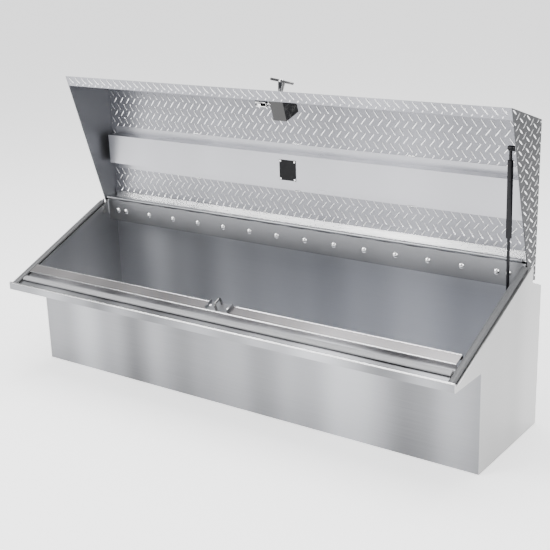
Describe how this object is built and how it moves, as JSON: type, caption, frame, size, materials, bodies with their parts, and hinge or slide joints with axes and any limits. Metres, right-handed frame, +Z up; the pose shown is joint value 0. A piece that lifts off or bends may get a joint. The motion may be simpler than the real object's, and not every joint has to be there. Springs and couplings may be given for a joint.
{
  "type": "side-mount truck tool box",
  "caption": "Side-mount aluminium truck tool box with a tread-plate lid, piano hinge, gas strut and T-handle latch, drawn open.",
  "frame": {"origin": "centre of the tub's bottom face", "axes": "+X along the box to the gas strut's end, -Y towards the bed rail, +Z up"},
  "size_m": [1.524, 0.494, 0.9127],
  "materials": {
    "mill_sheet": "satin mill finish",
    "tread_plate": "bright tread plate",
    "brushed_band": "brushed along the length",
    "seal_rubber": "matt ribbed",
    "zinc_steel": "bright zinc",
    "bright_steel": "polished",
    "black_steel": "black, semi-gloss",
    "label_black": "blank satin plate"
  },
  "bodies": {
    "tub": {"tub_wrap": "mill_sheet", "end_panel_left": "mill_sheet", "end_panel_right": "mill_sheet", "front_band": "brushed_band", "seal_left": "seal_rubber", "seal_front": "seal_rubber", "seal_right": "seal_rubber", "hinge_leaf_tub": "mill_sheet", "hinge_pin": "zinc_steel", "hinge_bolts": "zinc_steel", "hinge_washers": "zinc_steel", "hinge_nuts": "zinc_steel", "striker_plate": "zinc_steel", "striker_loop": "bright_steel", "striker_screws": "zinc_steel", "strut_bracket_tub": "black_steel", "strut_bracket_tub_rivets": "zinc_steel"},
    "lid": {"lid_skin": "tread_plate", "lid_end_left": "tread_plate", "lid_end_right": "tread_plate", "lid_hinge_angle": "mill_sheet", "hinge_leaf_lid": "mill_sheet", "lid_channel": "mill_sheet", "channel_welds": "mill_sheet", "label_plate": "label_black", "label_rivets": "zinc_steel", "strut_bracket_lid": "black_steel", "strut_bracket_lid_rivets": "zinc_steel", "handle_gasket": "seal_rubber", "handle_escutcheon": "bright_steel", "handle_nut": "zinc_steel", "latch_bracket": "zinc_steel", "latch_screws": "zinc_steel", "latch_plates": "bright_steel", "latch_spacers": "zinc_steel", "latch_case": "black_steel", "rotor_pin": "zinc_steel", "rotor_spring": "zinc_steel", "pawl_pin": "zinc_steel", "pawl_spring": "zinc_steel"},
    "strut_cylinder": {"strut_tube": "black_steel", "strut_gland": "black_steel"},
    "strut_piston": {"strut_rod": "black_steel", "strut_eye": "black_steel"},
    "handle": {"t_handle": "bright_steel", "handle_cam": "zinc_steel", "cam_screw": "zinc_steel"},
    "lock": {"lock_core": "bright_steel"},
    "rotor": {"latch_rotor": "bright_steel"},
    "pawl": {"latch_pawl": "zinc_steel"}
  },
  "joints": [
    {"name": "lid_hinge", "type": "hinge", "parent": "tub", "child": "lid", "pos_m": [0, 0.112, 0.478], "axis": [1, 0, 0], "range_deg": [0, 96], "stiffness_Nm_per_rad": 8.4, "springref_deg": -48.01},
    {"name": "strut_pivot", "type": "hinge", "parent": "lid", "child": "strut_cylinder", "pos_m": [0.71, 0.069, 0.779], "axis": [1, 0, 0], "range_deg": [-14, 0]},
    {"name": "strut_slide", "type": "slide", "parent": "strut_cylinder", "child": "strut_piston", "axis": [0, -0.0247, 0.9997], "range_m": [0, 0.1408]},
    {"name": "handle_turn", "type": "hinge", "parent": "lid", "child": "handle", "pos_m": [0.008, 0.07397, 0.86602], "axis": [0, -0.2884, -0.9575], "range_deg": [0, 90], "stiffness_Nm_per_rad": 0.2},
    {"name": "lock_turn", "type": "hinge", "parent": "handle", "child": "lock", "pos_m": [0.008, 0.08406, 0.89954], "axis": [0, -0.2884, -0.9575], "range_deg": [0, 90]},
    {"name": "rotor_turn", "type": "hinge", "parent": "lid", "child": "rotor", "pos_m": [-0.009, 0.03947, 0.85697], "axis": [0, -0.2924, 0.9563], "range_deg": [0, 55], "stiffness_Nm_per_rad": 0.1},
    {"name": "pawl_turn", "type": "hinge", "parent": "lid", "child": "pawl", "pos_m": [0.032, 0.03947, 0.85697], "axis": [0, 0.2924, -0.9563], "range_deg": [0, 12], "stiffness_Nm_per_rad": 0.1}
  ],
  "couplings": [
    {"joint": "strut_pivot", "follows": "lid_hinge", "ratio": -0.14259},
    {"joint": "strut_slide", "follows": "lid_hinge", "m_per_rad": 0.083969},
    {"joint": "pawl_turn", "follows": "handle_turn", "ratio": 0.133}
  ]
}
